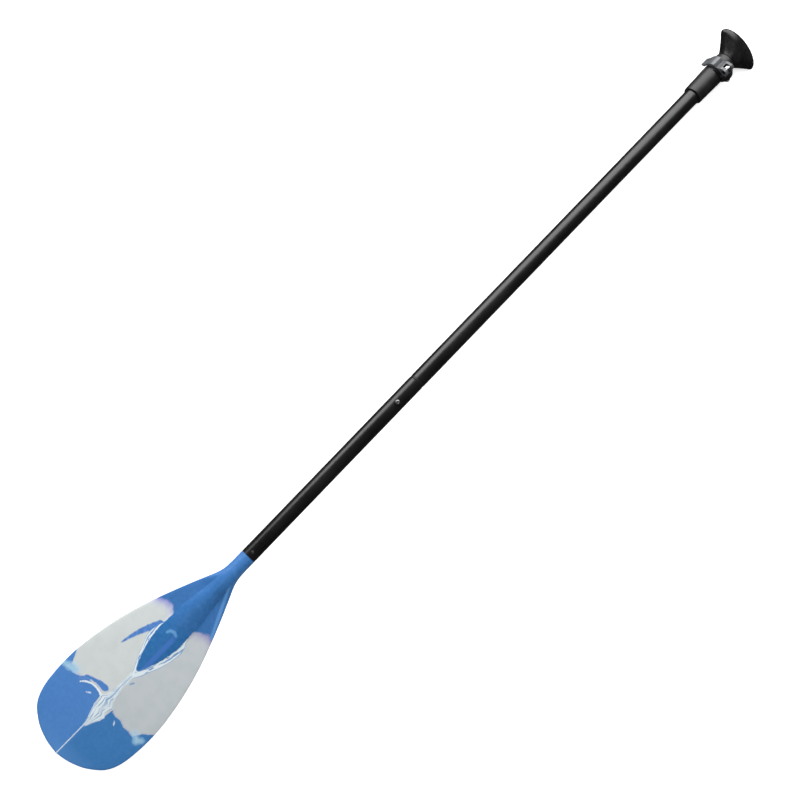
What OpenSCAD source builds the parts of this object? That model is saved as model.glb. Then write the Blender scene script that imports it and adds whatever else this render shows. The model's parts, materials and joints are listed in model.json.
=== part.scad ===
// Three-piece adjustable stand-up paddle, lying face up at rest on the floor.
// Every sub-part is drawn along the shaft: x runs from the blade tip to the palm grip,
// z points out of the visible blade face and y points to the left edge of the blade.
// lay() then sets the whole paddle down so that it rests on the blade tip and the palm grip.

/* [Overall] */
// Length from blade tip to the top of the palm grip, handle pushed in
total_len = 1697; // [1600:1:1800]
// Where the blade neck meets the lower tube
neck_x = 476; // [440:1:500]
// Where the lower tube ends and the ferrule shoulder shows
joint_x = 884; // [800:1:950]
// Bottom edge of the clamp collar
collar_x = 1566.5; // [1500:0.5:1600]
// Top edge of the clamp collar
collar_top_x = 1649; // [1640:0.5:1670]

/* [Tubes] */
// Outside diameter of the lower and middle tubes
tube_d = 28; // [26:0.5:32]
// Inside diameter of the lower and middle tubes
tube_id = 25.5; // [23:0.1:30]
// Outside diameter of the sliding handle tube
inner_d = 25; // [22:0.1:29]
// Inside diameter of the sliding handle tube
inner_id = 22.5; // [19:0.1:27]
// Lower end of the sliding handle tube
inner_x = 1096; // [1000:1:1200]

/* [Blade] */
// Half of the widest blade width
blade_half_w = 100; // [80:1:120]
// Angle between the blade and the shaft
cant = 8; // [0:0.5:14]
// Fall of each half of the face away from the midline, mm per mm
dihedral = 0.052; // [0:0.001:0.1]
// Thickness of the plate on the midline
plate_t = 4.4; // [3:0.1:8]
// Thickness of the plate at its edge
edge_t = 2.6; // [1.5:0.1:5]
// Point where the raised spine ends on the face
spine_tip_x = 193; // [150:1:260]
// Half width of the raised spine at its widest
spine_half_w = 27; // [18:1:36]

/* [Clamp] */
// Direction of the clamp ears about the shaft, measured from the face
clamp_turn = 58; // [0:1:90]
// Distance of the clamp bolt from the shaft axis
bolt_r = 21.5; // [20:0.1:26]
// Distance of the lever pivot from the split
pivot_off = 16.5; // [14:0.1:20]
// Middle of the lever and the bolt along the shaft
lever_x = 1627.5; // [1624:0.5:1640]
// Width of the lever along the shaft
lever_w = 18; // [14:0.5:22]

/* [Grip] */
// Turn of the palm grip about the shaft at rest
grip_turn = 15; // [0:1:30]
// Half span of the palm grip
grip_half = 43.5; // [35:0.5:50]
// Half thickness of the palm grip
grip_t = 16; // [12:0.5:20]

/* [Button] */
// Centre of the snap button along the shaft
button_x = 836; // [810:1:860]
// Diameter of the snap button
button_d = 8.4; // [6:0.1:10]
// How far the snap button can be pressed
button_travel = 4.2; // [3:0.1:5]

/* [Hidden] */
tube_r = tube_d / 2;
bore_r = tube_id / 2;
fit = 0.06;
grip_x = collar_top_x + 1;
grip_mid_x = total_len - 16.5;
// widths of one half of the blade as shares of the widest, at shares of the blade length
outline = [[0, 0.008], [0.0045, 0.19], [0.013, 0.345], [0.028, 0.518], [0.048, 0.662],
  [0.073, 0.797], [0.106, 0.894], [0.153, 0.96], [0.213, 0.991], [0.27, 1], [0.34, 0.985],
  [0.425, 0.927], [0.51, 0.843], [0.596, 0.729], [0.681, 0.588], [0.766, 0.43],
  [0.843, 0.276], [0.885, 0.19], [0.915, 0.152], [0.95, 0.141], [1, 0.14]];
last = len(outline) - 1;
function slope(i) = i == 0 || i == last ? 0
  : (outline[i + 1][1] - outline[i - 1][1]) / (outline[i + 1][0] - outline[i - 1][0]);
function seg(s, i = 0) = i >= last - 1 || s <= outline[i + 1][0] ? i : seg(s, i + 1);
function m0(i) = i == 0 ? (outline[1][1] - outline[0][1]) / (outline[1][0] - outline[0][0])
  : slope(i);
function herm(s, i, w, t) = (2 * t * t * t - 3 * t * t + 1) * outline[i][1]
  + (t * t * t - 2 * t * t + t) * w * m0(i)
  + (3 * t * t - 2 * t * t * t) * outline[i + 1][1]
  + (t * t * t - t * t) * w * slope(i + 1);
function share(s) = let (i = seg(s), w = outline[i + 1][0] - outline[i][0])
  herm(s, i, w, (s - outline[i][0]) / w);
function half_w(x) = x >= 0.95 * neck_x ? tube_r
  : max(blade_half_w * share(x / neck_x), x > 0.8 * neck_x ? tube_r : 0);
function smooth(a, b, x) = let (t = min(1, max(0, (x - a) / (b - a)))) t * t * (3 - 2 * t);
// the blade bends away from the shaft over a short length below the neck
bend_x = 420;
function bend(v) = v <= -20 ? 0 : v >= 20 ? v : (v + 20) * (v + 20) / 80;
function drop(x) = tan(cant) * bend(bend_x - x);
function neck_mix(x) = smooth(385, 440, x);
function spine_w(x) = x <= spine_tip_x ? 0.01
  : x < 280 ? spine_half_w * pow(sin(90 * (x - spine_tip_x) / (280 - spine_tip_x)), 0.8)
  : spine_half_w + (tube_r - spine_half_w) * smooth(280, 425, x);
function spine_h(x) = x <= spine_tip_x ? 0
  : (tube_r - plate_t / 2) * pow((x - spine_tip_x) / (440 - spine_tip_x), 1.15);
function back_h(x) = (tube_r - plate_t / 2) * smooth(250, 440, x);
function hump(y, w) = abs(y) >= w ? 0 : pow(1 - (y / w) * (y / w), 0.8);
function plate_half(x, u) = let (e = pow(abs(u), 2.2))
  (plate_t * (1 - e) + edge_t * e) / 2 * sqrt(max(0, 1 - pow(abs(u), 24)));
function face_z(x, u) = let (y = u * half_w(x), m = neck_mix(x))
  (1 - m) * (plate_half(x, u) - dihedral * abs(y) + spine_h(min(x, 440)) * hump(y, spine_w(x)))
  + m * tube_r * sqrt(max(0, 1 - u * u)) - drop(x);
function rear_z(x, u) = let (y = u * half_w(x), m = neck_mix(x))
  (1 - m) * (-plate_half(x, u) - dihedral * abs(y) - back_h(x) * hump(y, max(12, tube_r * 1.1)))
  - m * tube_r * sqrt(max(0, 1 - u * u)) - drop(x);
tip_low_x = 8;
tip_low_z = drop(tip_low_x) + dihedral * 39 + 1.3;
grip_low_z = sqrt(pow(36.8 * sin(grip_turn), 2) + pow(grip_t * cos(grip_turn), 2));
pitch = atan((tip_low_z - grip_low_z) / (grip_mid_x - tip_low_x));
centre_shift = 1.32;
lift = tip_low_z * cos(pitch) + tip_low_x * sin(pitch);

module lay() {
  translate([centre_shift - total_len / 2, 0, lift]) rotate([0, pitch, 0]) children();
}

// a cylinder along the shaft
module rod(x, h, r, r2 = -1) {
  translate([x, 0, 0]) rotate([0, 90, 0]) cylinder(h = h, r1 = r, r2 = r2 < 0 ? r : r2, $fn = 96);
}

// clamp space: z out through the split, y along the bolt towards the lever pivot
module clamp_space() {
  rotate([clamp_turn, 0, 0]) children();
}

module stations_solid() {
  n = 26;
  us = [for (i = [0 : n]) sin(90 * (2 * i / n - 1))];
  xs = [0, 1.2, 2.6, 4.2, 6.2, 9, 13, 18, 23, 29, 35, 43, 52, 62, 74, 88, 104, 122, 142, 164,
    186, 200, 214, 228, 244, 262, 280, 300, 320, 340, 358, 374, 386, 396, 405, 413, 421, 430,
    440, 455, neck_x];
  m = len(xs);
  ring = 2 * n;
  pts = [for (x = xs) each concat(
    [for (i = [0 : n]) [x, us[i] * half_w(x), face_z(x, us[i])]],
    [for (i = [n - 1 : -1 : 1]) [x, us[i] * half_w(x), rear_z(x, us[i])]])];
  sides = [for (j = [0 : m - 2]) for (i = [0 : ring - 1])
    let (a = j * ring + i, b = j * ring + (i + 1) % ring)
    each [[a, b, b + ring], [a, b + ring, a + ring]]];
  caps = [for (i = [1 : ring - 2]) each [[0, i + 1, i],
    [(m - 1) * ring, (m - 1) * ring + i, (m - 1) * ring + i + 1]]];
  polyhedron(points = pts, faces = concat(sides, caps), convexity = 6);
}

module blade() {
  color([0.22, 0.46, 0.7]) lay() difference() {
    union() {
      stations_solid();
      rod(neck_x - 1, 61, bore_r - 0.05);
    }
    rod(neck_x + 4, 60, 9);
    translate([neck_x + 10, 0, -20]) cylinder(h = 40, r = 2, $fn = 48);
  }
}

module rivet() {
  translate([neck_x + 10, 0, 9.4]) cylinder(h = 5, r = 1.95, $fn = 48);
  difference() {
    intersection() {
      translate([neck_x + 10, 0, 11.2]) sphere(r = 4.4, $fn = 64);
      translate([neck_x + 10, 0, tube_r - 0.35]) cylinder(h = 3, r = 3.3, $fn = 48);
    }
    rod(neck_x, 20, tube_r + 0.01);
  }
}

module rivet_face() {
  color([0.05, 0.05, 0.06]) lay() rivet();
}

module rivet_back() {
  color([0.05, 0.05, 0.06]) lay() rotate([180, 0, 0]) rivet();
}

module lower_tube() {
  color([0.06, 0.06, 0.07]) lay() difference() {
    rod(neck_x, joint_x - neck_x, tube_r);
    rod(neck_x - 1, joint_x - neck_x + 2, bore_r);
    translate([neck_x + 10, 0, -20]) cylinder(h = 40, r = 2, $fn = 48);
    translate([button_x, 0, 0]) cylinder(h = 20, r = button_d / 2 + 0.4, $fn = 64);
  }
}

module lower_foam() {
  color([0.85, 0.85, 0.83]) lay() rod(620, 60, bore_r - 0.05);
}

module ferrule() {
  color([0.07, 0.07, 0.08]) lay() difference() {
    union() {
      rod(joint_x - 85, 2, bore_r - 1.2, bore_r - fit);
      rod(joint_x - 83, 83, bore_r - fit);
      rod(joint_x, 4, tube_r - 0.9, tube_r);
      rod(joint_x + 4, 56, bore_r - 0.02);
    }
    rod(joint_x - 86, 150, 10.5);
    translate([button_x, 0, 0]) cylinder(h = 20, r = button_d / 2 + 0.3, $fn = 64);
  }
}

module ferrule_plug() {
  color([0.1, 0.1, 0.1]) lay() rod(joint_x + 40, 18, 10.45);
}

module snap_spring() {
  color([0.72, 0.73, 0.75]) lay() {
    difference() {
      translate([810, -4, -9]) cube([36, 8, 16.6]);
      translate([812, -5, -8.3]) cube([40, 10, 15.2]);
      translate([846, -5, 7]) rotate([0, -8, 0]) cube([0.1, 10, 2]);
    }
  }
}

module snap_button() {
  color([0.7, 0.71, 0.73]) lay() difference() {
    union() {
      translate([button_x, 0, 7.65]) cylinder(h = 1.2, r = 5.2, $fn = 64);
      translate([button_x, 0, 8.8]) cylinder(h = 7.2, r = button_d / 2, $fn = 64);
      translate([button_x, 0, 16]) cylinder(h = 0.8, r1 = button_d / 2, r2 = button_d / 2 - 0.9, $fn = 64);
    }
    translate([button_x, 0, 13.4]) cylinder(h = 4, r = 1.3, $fn = 48);
  }
}

module middle_tube() {
  color([0.06, 0.06, 0.07]) lay() difference() {
    rod(joint_x + 4, 717.8, tube_r);
    rod(joint_x + 3, 720, bore_r);
  }
}

module clamp_ears() {
  intersection() {
    translate([lever_x + 2.5, -7, 9.8]) rotate([-90, 0, 0]) cylinder(h = 14, r = 16.2, $fn = 96);
    translate([lever_x - 11.5, -7, 10]) cube([32.5, 14, 20]);
  }
}

module clamp_collar() {
  color([0.09, 0.09, 0.1]) lay() clamp_space() difference() {
    union() {
      rod(collar_x, 1, 16.2, 17.1);
      rod(collar_x + 1, 46.5, 17.1, 18.2);
      rod(collar_x + 47.5, collar_top_x - collar_x - 48.5, 18.2);
      rod(collar_top_x - 1, 1, 18.2, 17.2);
      clamp_ears();
    }
    rod(collar_x - 1, 40.5, tube_r + 0.02);
    rod(collar_x + 39, 60, inner_d / 2 + fit);
    translate([lever_x - 14, -40, 3.7]) cube([2.5, 80, 60]);
    translate([lever_x - 12.5, -0.75, 3.7]) cube([60, 1.5, 60]);
    translate([lever_x, -20, bolt_r]) rotate([-90, 0, 0]) cylinder(h = 40, r = 2.7, $fn = 48);
  }
}

module clamp_bolt() {
  color([0.8, 0.81, 0.83]) lay() clamp_space() union() {
    translate([lever_x, -13, bolt_r]) rotate([-90, 0, 0])
      cylinder(h = 13 + pivot_off + 3.2, r = 2.5, $fn = 64);
    translate([lever_x, pivot_off + 3.1, bolt_r]) rotate([-90, 0, 0])
      cylinder(h = 1.2, r = 3.2, $fn = 64);
    translate([lever_x, pivot_off + 4.3, bolt_r]) rotate([-90, 0, 0])
      cylinder(h = 0.8, r1 = 3.2, r2 = 2.3, $fn = 64);
  }
}

module clamp_nut() {
  color([0.75, 0.76, 0.78]) lay() clamp_space() difference() {
    translate([lever_x, -11, bolt_r]) rotate([-90, 0, 0]) linear_extrude(4)
      polygon([for (k = [0 : 5]) [4.6 * cos(60 * k), 4.6 * sin(60 * k)]]);
    translate([lever_x, -14, bolt_r]) rotate([-90, 0, 0]) cylinder(h = 10, r = 2.52, $fn = 64);
  }
}

module lever_pin() {
  color([0.7, 0.71, 0.73]) lay() clamp_space() difference() {
    translate([lever_x - lever_w / 2 + 0.2, pivot_off, bolt_r]) rotate([0, 90, 0])
      cylinder(h = lever_w - 0.4, r = 4, $fn = 64);
    translate([lever_x, 0, bolt_r]) rotate([-90, 0, 0]) cylinder(h = 40, r = 2.52, $fn = 64);
    translate([lever_x, pivot_off + 3.05, bolt_r]) rotate([-90, 0, 0])
      cylinder(h = 8, r = 3.3, $fn = 64);
  }
}

module cam_saddle() {
  color([0.12, 0.12, 0.13]) lay() clamp_space() difference() {
    translate([lever_x - 8.6, 7.02, bolt_r - 4.1]) cube([17.2, 2, 7.9]);
    translate([lever_x, 0, bolt_r]) rotate([-90, 0, 0]) cylinder(h = 40, r = 2.7, $fn = 48);
  }
}

module clamp_lever() {
  pv_y = pivot_off * cos(clamp_turn) - bolt_r * sin(clamp_turn);
  pv_z = pivot_off * sin(clamp_turn) + bolt_r * cos(clamp_turn);
  color([0.62, 0.65, 0.67]) lay() difference() {
    union() {
      intersection() {
        difference() {
          rod(lever_x - lever_w / 2, lever_w, 22.8);
          rod(lever_x - lever_w / 2 - 1, lever_w + 2, 19.6);
        }
        translate([lever_x - lever_w / 2, 0, 0]) rotate([0, 90, 0]) linear_extrude(lever_w)
          polygon([[0, 0], [-40, -6], [-40, 40], [7, 40]]);
      }
      // bridge from the arm to the pivot
      translate([lever_x - lever_w / 2, 0, 0]) rotate([0, 90, 0]) linear_extrude(lever_w)
        polygon([[-pv_z - 5.6, pv_y + 1.2], [-pv_z - 4.4, pv_y + 4.6], [-20.9, 9.1], [-18.9, 5.2],
          [-19.4, 0], [-pv_z + 6, pv_y - 0.6]]);
      // cam, a little off centre about the pivot
      clamp_space() translate([lever_x - lever_w / 2, pivot_off - 0.8, bolt_r]) rotate([0, 90, 0])
        cylinder(h = lever_w, r = 6.4, $fn = 96);
      // finger tab
      translate([lever_x - lever_w / 2, 0, 0]) rotate([0, 90, 0]) linear_extrude(lever_w)
        polygon([[2, 19.6], [2, 22.8], [6.2, 26.6], [8.6, 25.4], [6.6, 21.6], [4.2, 19.4]]);
    }
    // sides taper towards the tab
    for (k = [-1, 1]) translate([lever_x, -60, 0]) rotate([-90, 0, 0]) linear_extrude(120)
      polygon([[k * 9, -20], [k * 6.5, 12], [k * 30, 12], [k * 30, -20]]);
    // pin hole and the window between the prongs
    clamp_space() translate([lever_x - 20, pivot_off, bolt_r]) rotate([0, 90, 0])
      cylinder(h = 40, r = 4 + fit, $fn = 96);
    translate([lever_x - 4.4, pv_y - 20, pv_z - 12]) cube([8.8, 28.4, 30]);
  }
}

module handle_bush() {
  color([0.1, 0.1, 0.11]) lay() union() {
    rod(inner_x - 10, 9.7, bore_r - fit);
    rod(inner_x - 0.3, 24, inner_id / 2 - fit);
  }
}

module handle_tube() {
  color([0.08, 0.08, 0.09]) lay() difference() {
    rod(inner_x, 1685 - inner_x, inner_d / 2);
    rod(inner_x - 1, 1687 - inner_x, inner_id / 2);
  }
}

module handle_foam() {
  color([0.85, 0.85, 0.83]) lay() rod(1600, 50, inner_id / 2 - 0.05);
}

module palm_grip() {
  color([0.05, 0.05, 0.055]) lay() rotate([-grip_turn, 0, 0]) difference() {
    hull() {
      rod(grip_x, 1.5, 15.8, 16.4);
      translate([grip_mid_x, 0, 0]) scale([1, 2.3, 1]) sphere(r = grip_t, $fn = 48);
      for (k = [-1, 1]) translate([grip_mid_x, k * (grip_half - 9), 0]) sphere(r = 9, $fn = 32);
    }
    rod(grip_x - 1, 36, inner_d / 2 + 0.02);
  }
}

blade();
rivet_face();
rivet_back();
lower_tube();
lower_foam();
ferrule();
ferrule_plug();
snap_spring();
snap_button();
middle_tube();
clamp_collar();
clamp_bolt();
clamp_nut();
lever_pin();
cam_saddle();
clamp_lever();
handle_bush();
handle_tube();
handle_foam();
palm_grip();
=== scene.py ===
import bpy, bmesh, json, math
import numpy as np
from mathutils import Matrix, Vector


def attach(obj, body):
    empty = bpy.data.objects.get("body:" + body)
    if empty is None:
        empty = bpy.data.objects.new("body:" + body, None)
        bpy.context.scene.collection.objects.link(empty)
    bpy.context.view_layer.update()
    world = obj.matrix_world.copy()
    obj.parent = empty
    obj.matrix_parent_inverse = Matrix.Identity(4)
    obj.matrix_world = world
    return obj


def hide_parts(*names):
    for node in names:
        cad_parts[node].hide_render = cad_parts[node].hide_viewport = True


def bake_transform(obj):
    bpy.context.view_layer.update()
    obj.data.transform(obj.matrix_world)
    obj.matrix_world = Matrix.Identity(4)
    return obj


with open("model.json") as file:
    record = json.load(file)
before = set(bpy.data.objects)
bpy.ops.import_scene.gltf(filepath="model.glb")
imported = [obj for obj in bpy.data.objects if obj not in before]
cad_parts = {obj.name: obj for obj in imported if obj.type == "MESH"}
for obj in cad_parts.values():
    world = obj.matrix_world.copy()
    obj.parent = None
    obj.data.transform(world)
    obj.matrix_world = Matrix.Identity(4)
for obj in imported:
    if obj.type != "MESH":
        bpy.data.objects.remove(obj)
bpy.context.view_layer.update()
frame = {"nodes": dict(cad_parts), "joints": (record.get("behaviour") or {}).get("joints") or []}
MM = 0.001

# ---------------------------------------------------------------- shaft space
# x from the blade tip to the grip, y to the blade's left edge, z out of its face, all in mm.
joints = {j["name"]: j for j in frame["joints"]}
AXIS = Vector(joints["handle_slide"]["axis"]).normalized()
UP = -Vector(joints["button_press"]["axis"]).normalized()
SIDE = UP.cross(AXIS)
ORIGIN = Vector(joints["handle_turn"]["pos_m"]) - AXIS * 1.4
TO_ROW = Matrix((
    (AXIS.x * MM, SIDE.x * MM, UP.x * MM, ORIGIN.x),
    (AXIS.y * MM, SIDE.y * MM, UP.y * MM, ORIGIN.y),
    (AXIS.z * MM, SIDE.z * MM, UP.z * MM, ORIGIN.z),
    (0, 0, 0, 1)))

NECK_X, JOINT_X, COLLAR_X, COLLAR_TOP, TUBE_END = 476.0, 884.0, 1566.5, 1649.0, 1605.8
TUBE_R, BORE_R, INNER_R, INNER_BORE = 14.0, 12.75, 12.5, 11.25
BUTTON_X, RIVET_X, LEVER_X = 836.0, 486.0, 1627.5
SLEEVE_R, PIVOT_R, BOLT_HOLE_R, PIN_BORE_R = 12.69, 4.06, 2.7, 2.52
BUSH_X, HANDLE_X, HANDLE_END = 1086.0, 1096.0, 1685.0
CLAMP_TURN, BOLT_R, PIVOT_OFF = math.radians(58), 21.5, 16.5
PIVOT_Y = PIVOT_OFF * math.cos(CLAMP_TURN) - BOLT_R * math.sin(CLAMP_TURN)
PIVOT_Z = PIVOT_OFF * math.sin(CLAMP_TURN) + BOLT_R * math.cos(CLAMP_TURN)


def smooth(a, b, x):
    t = min(1.0, max(0.0, (x - a) / (b - a)))
    return t * t * (3 - 2 * t)


# ---------------------------------------------------------------- mesh helpers
def add_object(name, data):
    ob = bpy.data.objects.new(name, data)
    bpy.context.scene.collection.objects.link(ob)
    return ob


def to_object(bm, name):
    me = bpy.data.meshes.new(name)
    bm.to_mesh(me)
    bm.free()
    return add_object(name, me)


def shade(bm, deg):
    """Smooth faces, with the edges that fold by more than deg left crisp."""
    for f in bm.faces:
        f.smooth = True
    for e in bm.edges:
        e.smooth = not (len(e.link_faces) == 2 and e.calc_face_angle(0) > math.radians(deg))


def finish_mesh(bm, name, body, mat, replaces=(), sharp=32):
    """Moves a shape from shaft space to the frame and makes it a piece of that body."""
    bmesh.ops.transform(bm, matrix=TO_ROW, verts=bm.verts)
    bmesh.ops.recalc_face_normals(bm, faces=bm.faces)
    shade(bm, sharp)
    ob = to_object(bm, name)
    ob.data.materials.append(mat)
    if body:
        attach(ob, body)
    if replaces:
        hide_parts(*replaces)
    return ob


def loft(bm, rows):
    """Walls between rings of equal length, each joined to the next."""
    n = len(rows[0])
    for p, q in zip(rows, rows[1:]):
        for k in range(n):
            bm.faces.new((p[k], p[(k + 1) % n], q[(k + 1) % n], q[k]))


def lathe(profile, n=96, centre=(0, 0, 0), axis="x"):
    """A closed turned shape: profile is a loop of (along, radius) points; radius 0 closes on the axis."""
    bm, rings = bmesh.new(), []
    for a, r in profile:
        if r <= 1e-6:
            p = (a, 0, 0) if axis == "x" else (0, 0, a)
            rings.append([bm.verts.new(Vector(p) + Vector(centre))])
            continue
        ring = []
        for k in range(n):
            t = 2 * math.pi * k / n
            p = (a, r * math.sin(t), r * math.cos(t)) if axis == "x" else (r * math.sin(t), r * math.cos(t), a)
            ring.append(bm.verts.new(Vector(p) + Vector(centre)))
        rings.append(ring)
    closed = len(rings[0]) > 1 and len(rings[-1]) > 1
    pairs = list(zip(rings, rings[1:])) + ([(rings[-1], rings[0])] if closed else [])
    for p, q in pairs:
        for k in range(n):
            j = (k + 1) % n
            if len(p) == 1 and len(q) > 1:
                bm.faces.new((p[0], q[j], q[k]))
            elif len(q) == 1 and len(p) > 1:
                bm.faces.new((p[k], p[j], q[0]))
            elif len(p) > 1:
                bm.faces.new((p[k], p[j], q[j], q[k]))
    return bm


def rounded(points, radius, steps=4):
    """Rounds the corners of an open profile by radius."""
    out = [points[0]]
    for a, b, c in zip(points, points[1:], points[2:]):
        a, b, c = Vector(a), Vector(b), Vector(c)
        r = min(radius, (a - b).length * 0.45, (c - b).length * 0.45)
        p, q = b + (a - b).normalized() * r, b + (c - b).normalized() * r
        for k in range(steps + 1):
            t = k / steps
            out.append(tuple((1 - t) ** 2 * p + 2 * t * (1 - t) * b + t * t * q))
    out.append(points[-1])
    return out


def tube_profile(x0, x1, ro, ri, edge=0.3, seg=12):
    xs = [x0 + (x1 - x0) * k / seg for k in range(seg + 1)]
    outer = [(x0, ri + edge * 0.4), (x0, ro - edge)] + [(x0 + edge, ro)]
    outer += [(x, ro) for x in xs[1:-1]]
    outer += [(x1 - edge, ro), (x1, ro - edge), (x1, ri + edge * 0.4)]
    inner = [(x1 - edge * 0.4, ri)] + [(x, ri) for x in xs[-2:0:-1]] + [(x0 + edge * 0.4, ri)]
    return outer + inner


def cut(ob, tool_bm, how="DIFFERENCE"):
    """Takes the tool's volume out of ob, or joins it on, for good."""
    bmesh.ops.transform(tool_bm, matrix=TO_ROW, verts=tool_bm.verts)
    bmesh.ops.recalc_face_normals(tool_bm, faces=tool_bm.faces)
    tool = to_object(tool_bm, "tool")
    me = tool.data
    mod = ob.modifiers.new("cut", "BOOLEAN")
    mod.operation, mod.solver, mod.object = how, "EXACT", tool
    apply_mods(ob)
    bpy.data.objects.remove(tool)
    bpy.data.meshes.remove(me)


def apply_mods(ob):
    deps = bpy.context.evaluated_depsgraph_get()
    deps.update()
    new = bpy.data.meshes.new_from_object(ob.evaluated_get(deps), preserve_all_data_layers=True, depsgraph=deps)
    old = ob.data
    ob.modifiers.clear()
    ob.data = new
    new.name = ob.name
    bpy.data.meshes.remove(old)
    return ob


def mark_sharp(ob, deg=32):
    bm = bmesh.new()
    bm.from_mesh(ob.data)
    shade(bm, deg)
    bm.to_mesh(ob.data)
    bm.free()


def prism(points, a, b, axis="x"):
    """points in the plane across the axis, run from a to b along it."""
    bm = bmesh.new()
    def at(p, s):
        return {"x": (s, p[0], p[1]), "y": (p[0], s, p[1]), "z": (p[0], p[1], s)}[axis]
    lo = [bm.verts.new(at(p, a)) for p in points]
    hi = [bm.verts.new(at(p, b)) for p in points]
    n = len(points)
    bm.faces.new(lo)
    bm.faces.new(hi[::-1])
    for k in range(n):
        bm.faces.new((lo[k], hi[k], hi[(k + 1) % n], lo[(k + 1) % n]))
    return bm


def box_bm(x0, x1, y0, y1, z0, z1):
    return prism([(y0, z0), (y1, z0), (y1, z1), (y0, z1)], x0, x1)


CLAMP_SPACE = Matrix.Rotation(CLAMP_TURN, 4, "X")


# ---------------------------------------------------------------- node helpers
class Mat:
    def __init__(self, name, **sockets):
        self.m = bpy.data.materials.new(name)
        self.m.use_nodes = True
        self.t = self.m.node_tree
        self.bsdf = self.t.nodes["Principled BSDF"]
        for k, v in sockets.items():
            self.bsdf.inputs[k.replace("_", " ")].default_value = v

    def put(self, node, key, v):
        s = node.inputs[key]
        if isinstance(v, bpy.types.NodeSocket):
            self.t.links.new(v, s)
        else:
            s.default_value = v

    def node(self, kind, props=None, ins=None, out=0):
        n = self.t.nodes.new(kind)
        for k, v in (props or {}).items():
            setattr(n, k, v)
        for k, v in (ins or {}).items():
            self.put(n, k, v)
        return n.outputs[out]

    def math(self, op, a, b=0.0, c=0.0, clamp=False):
        return self.node("ShaderNodeMath", {"operation": op, "use_clamp": clamp}, {0: a, 1: b, 2: c})

    def step(self, v, a, b, lo=0.0, hi=1.0):
        return self.node("ShaderNodeMapRange", {"interpolation_type": "SMOOTHSTEP"},
                         {"Value": v, "From Min": a, "From Max": b, "To Min": lo, "To Max": hi})

    def mix(self, f, a, b, blend="MIX"):
        n = self.t.nodes.new("ShaderNodeMix")
        n.data_type, n.blend_type = "RGBA", blend
        self.put(n, 0, f)
        self.put(n, 6, a if isinstance(a, bpy.types.NodeSocket) else (*a, 1))
        self.put(n, 7, b if isinstance(b, bpy.types.NodeSocket) else (*b, 1))
        return n.outputs[2]

    def attr(self, name):
        return self.node("ShaderNodeAttribute", {"attribute_name": name}, out=2)

    def where(self, scale=(1, 1, 1)):
        c = self.node("ShaderNodeTexCoord", out=3)
        if scale == (1, 1, 1):
            return c
        return self.node("ShaderNodeMapping", ins={"Vector": c, "Scale": scale})

    def noise(self, scale, detail=2.0, rough=0.5, vec=None, distort=0.0):
        return self.node("ShaderNodeTexNoise", ins={
            "Vector": vec or self.where(), "Scale": scale, "Detail": detail, "Roughness": rough,
            "Distortion": distort})

    def bump(self, height, strength=0.2, dist=0.0005, normal=None):
        ins = {"Height": height, "Strength": strength, "Distance": dist}
        if normal is not None:
            ins["Normal"] = normal
        return self.node("ShaderNodeBump", ins=ins)

    def set(self, key, v):
        self.put(self.bsdf, key, v)
        return self


def srgb(r, g, b):
    return tuple(((c / 255) / 12.92 if c <= 10 else ((c / 255 + 0.055) / 1.055) ** 2.4) for c in (r, g, b))


def satin_tube(name, base=0.004, rough=0.26):
    m = Mat(name, Specular_IOR_Level=0.6)
    drawn = m.noise(900, 3, 0.6, m.where((0.02, 1, 1)))
    cloud = m.noise(14, 3, 0.5)
    light = (base * 1.7, base * 1.7, base * 1.8)
    m.set("Base Color", m.mix(m.step(cloud, 0.35, 0.7), (base, base, base * 1.08), light))
    m.set("Roughness", m.math("ADD", m.math("MULTIPLY", cloud, 0.1), m.math("MULTIPLY_ADD", drawn, 0.08, rough - 0.06)))
    grain = m.noise(2600, 2, 0.5)
    m.set("Normal", m.bump(m.math("ADD", drawn, m.math("MULTIPLY", grain, 0.4)), 0.12, 0.00008))
    return m


def moulded(name, base, rough=0.45, grain=2200, depth=0.00012, spec=0.5, wear=0.25):
    m = Mat(name, Specular_IOR_Level=spec)
    cloud = m.noise(60, 3, 0.55)
    fine = m.noise(grain, 3, 0.6)
    hi = tuple(min(1, c * (1 + wear) + 0.004) for c in base)
    m.set("Base Color", m.mix(m.step(cloud, 0.3, 0.75), base, hi))
    m.set("Roughness", m.math("MULTIPLY_ADD", cloud, 0.14, m.math("MULTIPLY_ADD", fine, 0.1, rough - 0.12)))
    m.set("Normal", m.bump(fine, 0.25, depth))
    return m


def steel(name, tint=(0.72, 0.73, 0.75), rough=0.22, turned=False):
    m = Mat(name, Metallic=1.0)
    v = m.where((1, 1, 0.05)) if not turned else m.where()
    lines = m.noise(1800, 2, 0.6, v)
    spots = m.noise(120, 3, 0.6)
    m.set("Base Color", m.mix(m.step(spots, 0.4, 0.75), tint, tuple(c * 0.8 for c in tint)))
    m.set("Roughness", m.math("MULTIPLY_ADD", lines, 0.12, m.math("MULTIPLY_ADD", spots, 0.1, rough - 0.08)))
    m.set("Normal", m.bump(lines, 0.12, 0.00005))
    return m


# ---------------------------------------------------------------- blade form
BLADE_HALF, CANT, DIHEDRAL = 100.0, math.radians(8), 0.052
PLATE_T, EDGE_T, SPINE_TIP, SPINE_HALF, BEND_X = 4.4, 2.6, 202.0, 27.0, 420.0
SPINE_FULL, FLAT_END, ROUND_X, BEND_HALF = 288, 385, 440, 20
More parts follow.
